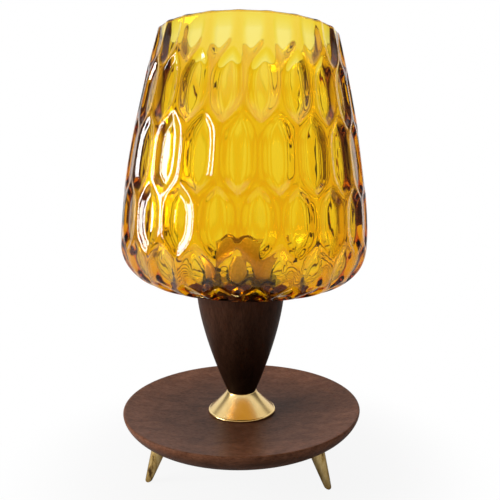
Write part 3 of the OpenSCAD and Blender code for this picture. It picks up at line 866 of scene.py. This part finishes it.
half = floor_size / 2
floor_corners = [(-half, -half, 0), (half, -half, 0), (half, half, 0), (-half, half, 0)]
floor_data = bpy.data.meshes.new("floor")
floor_data.from_pydata(floor_corners, [], [(0, 1, 2, 3)])
floor = bpy.data.objects.new("floor", floor_data)
scene.collection.objects.link(floor)

floor_paint, tree, shader = new_material("floor_paint")
shader.inputs["Base Color"].default_value = (floor_grey, floor_grey, floor_grey, 1.0)
shader.inputs["Roughness"].default_value = 0.9
place = add_node(tree, "ShaderNodeTexCoord")
length = add_node(tree, "ShaderNodeVectorMath", operation="LENGTH")
tree.links.new(place.outputs["Object"], length.inputs[0])
far_share = spread(tree, length.outputs["Value"], least_white, 1.0, start=shadow_start, end=shadow_end,
                   interpolation_type="SMOOTHSTEP")
rays = add_node(tree, "ShaderNodeLightPath").outputs
seen = calculated(tree, "MAXIMUM", rays["Is Camera Ray"], rays["Is Transmission Ray"])
white = add_node(tree, "ShaderNodeEmission", {"Color": (1, 1, 1, 1), "Strength": 1.0})
mix = add_node(tree, "ShaderNodeMixShader")
tree.links.new(calculated(tree, "MULTIPLY", seen, far_share), mix.inputs["Fac"])
tree.links.new(shader.outputs["BSDF"], mix.inputs[1])
tree.links.new(white.outputs["Emission"], mix.inputs[2])
tree.links.new(mix.outputs["Shader"], tree.nodes["Material Output"].inputs["Surface"])
floor_data.materials.append(floor_paint)
print("floor:", floor_size, "m square, shadow out to", shadow_end, "m")

# %% [markdown]
# Clear glass shows only what stands around it, so the room is drawn for each kind of ray. Rays that
# pass through the glass see white behind the lamp, then a dark stretch to each side, the way dark cards
# are set beside glass to draw its edges, and a pale room beyond. Mirrored rays see a white wall behind,
# a white ceiling and little else. Matt surfaces get most of the room's light from behind and least from
# the front, and the camera sees white. A picture of a room could do this too, but a ramp is easier to
# set. A ramp's stops are shares of half a turn: 0 is straight behind the lamp and 1 in front.

# %% Room
WHITE = (1.0, 1.0, 1.0)
CREAM = (0.92, 0.90, 0.88)
SHADOW = (0.03, 0.015, 0.015)
DIM = (0.14, 0.13, 0.12)
through_stops = [(0.160, WHITE), (0.167, SHADOW), (0.33, SHADOW), (0.41, CREAM)]
mirror_stops = [(0.26, WHITE), (0.30, DIM)]
light_stops = [(0.10, (0.95, 0.95, 0.95)), (0.45, (0.50, 0.50, 0.50)), (0.75, (0.16, 0.16, 0.16))]
ceiling_start = 0.50
ceiling_end = 0.62


def mixed(tree, factor, first, second):
    """A colour between two others; each may be a plain colour or a socket."""
    node = add_node(tree, "ShaderNodeMix", data_type="RGBA")
    tree.links.new(factor, node.inputs["Factor"])
    for socket, colour in (("A", first), ("B", second)):
        if isinstance(colour, tuple):
            node.inputs[socket].default_value = (*colour, 1.0)
        else:
            tree.links.new(colour, node.inputs[socket])
    return node.outputs["Result"]


world = bpy.data.worlds.new("room")
scene.world = world
world.use_nodes = True
tree = world.node_tree
direction = coordinates(tree, "Generated")
sideways = calculated(tree, "ABSOLUTE", direction["X"])
bearing = calculated(tree, "ARCTAN2", sideways, direction["Y"])
bearing_share = spread(tree, bearing, 0.0, 1.0, end=math.pi)
through = ramp(tree, bearing_share, through_stops)
wall = ramp(tree, bearing_share, mirror_stops)
room_light = ramp(tree, bearing_share, light_stops)
overhead = spread(tree, direction["Z"], 0.0, 1.0, start=ceiling_start, end=ceiling_end)
mirrored = mixed(tree, overhead, wall, WHITE)
rays = add_node(tree, "ShaderNodeLightPath").outputs
shown = mixed(tree, rays["Is Glossy Ray"], room_light, mirrored)
shown = mixed(tree, rays["Is Transmission Ray"], shown, through)
shown = mixed(tree, rays["Is Camera Ray"], shown, WHITE)
background = tree.nodes["Background"]
tree.links.new(shown, background.inputs["Color"])
background.inputs["Strength"].default_value = 1.0
dark_from, dark_to = (round(180 * through_stops[k][0]) for k in (1, 2))
print("dark stretch from", dark_from, "to", dark_to, "degrees")

# %% [markdown]
# Two soft windows on the left light the lamp and show as bright lines in the cells of the glass. Each
# is a flat area light turned towards the lamp. Their power follows their area, so both look equally
# bright.

# %% Windows
lamp_middle = (0, 0, 0.2)
sash_tall = 0.40
sash_glow = 57.0
sash_distance = 0.93
sash_height = 0.38


def window(name, place, target, size, watts):
    """A soft rectangular light that looks from a place towards a target."""
    data = bpy.data.lights.new(name, "AREA")
    data.shape = "RECTANGLE"
    data.size, data.size_y = size
    data.energy = watts
    lamp = bpy.data.objects.new(name, data)
    scene.collection.objects.link(lamp)
    lamp.location = place
    lamp.rotation_euler = (Vector(target) - Vector(place)).to_track_quat("-Z", "Y").to_euler()
    print(name, round(watts, 2), "W")


for sash, bearing_degrees, sash_wide in (("near_sash", 66, 0.13), ("far_sash", 84, 0.22)):
    sash_bearing = math.radians(bearing_degrees)
    place = (-sash_distance * math.sin(sash_bearing), -sash_distance * math.cos(sash_bearing), sash_height)
    window(sash, place, lamp_middle, (sash_wide, sash_tall), sash_glow * sash_wide * sash_tall)

# %% [markdown]
# Last comes the plain view transform, which shows colours as they are.

# %% Finish
scene.view_settings.view_transform = "Standard"
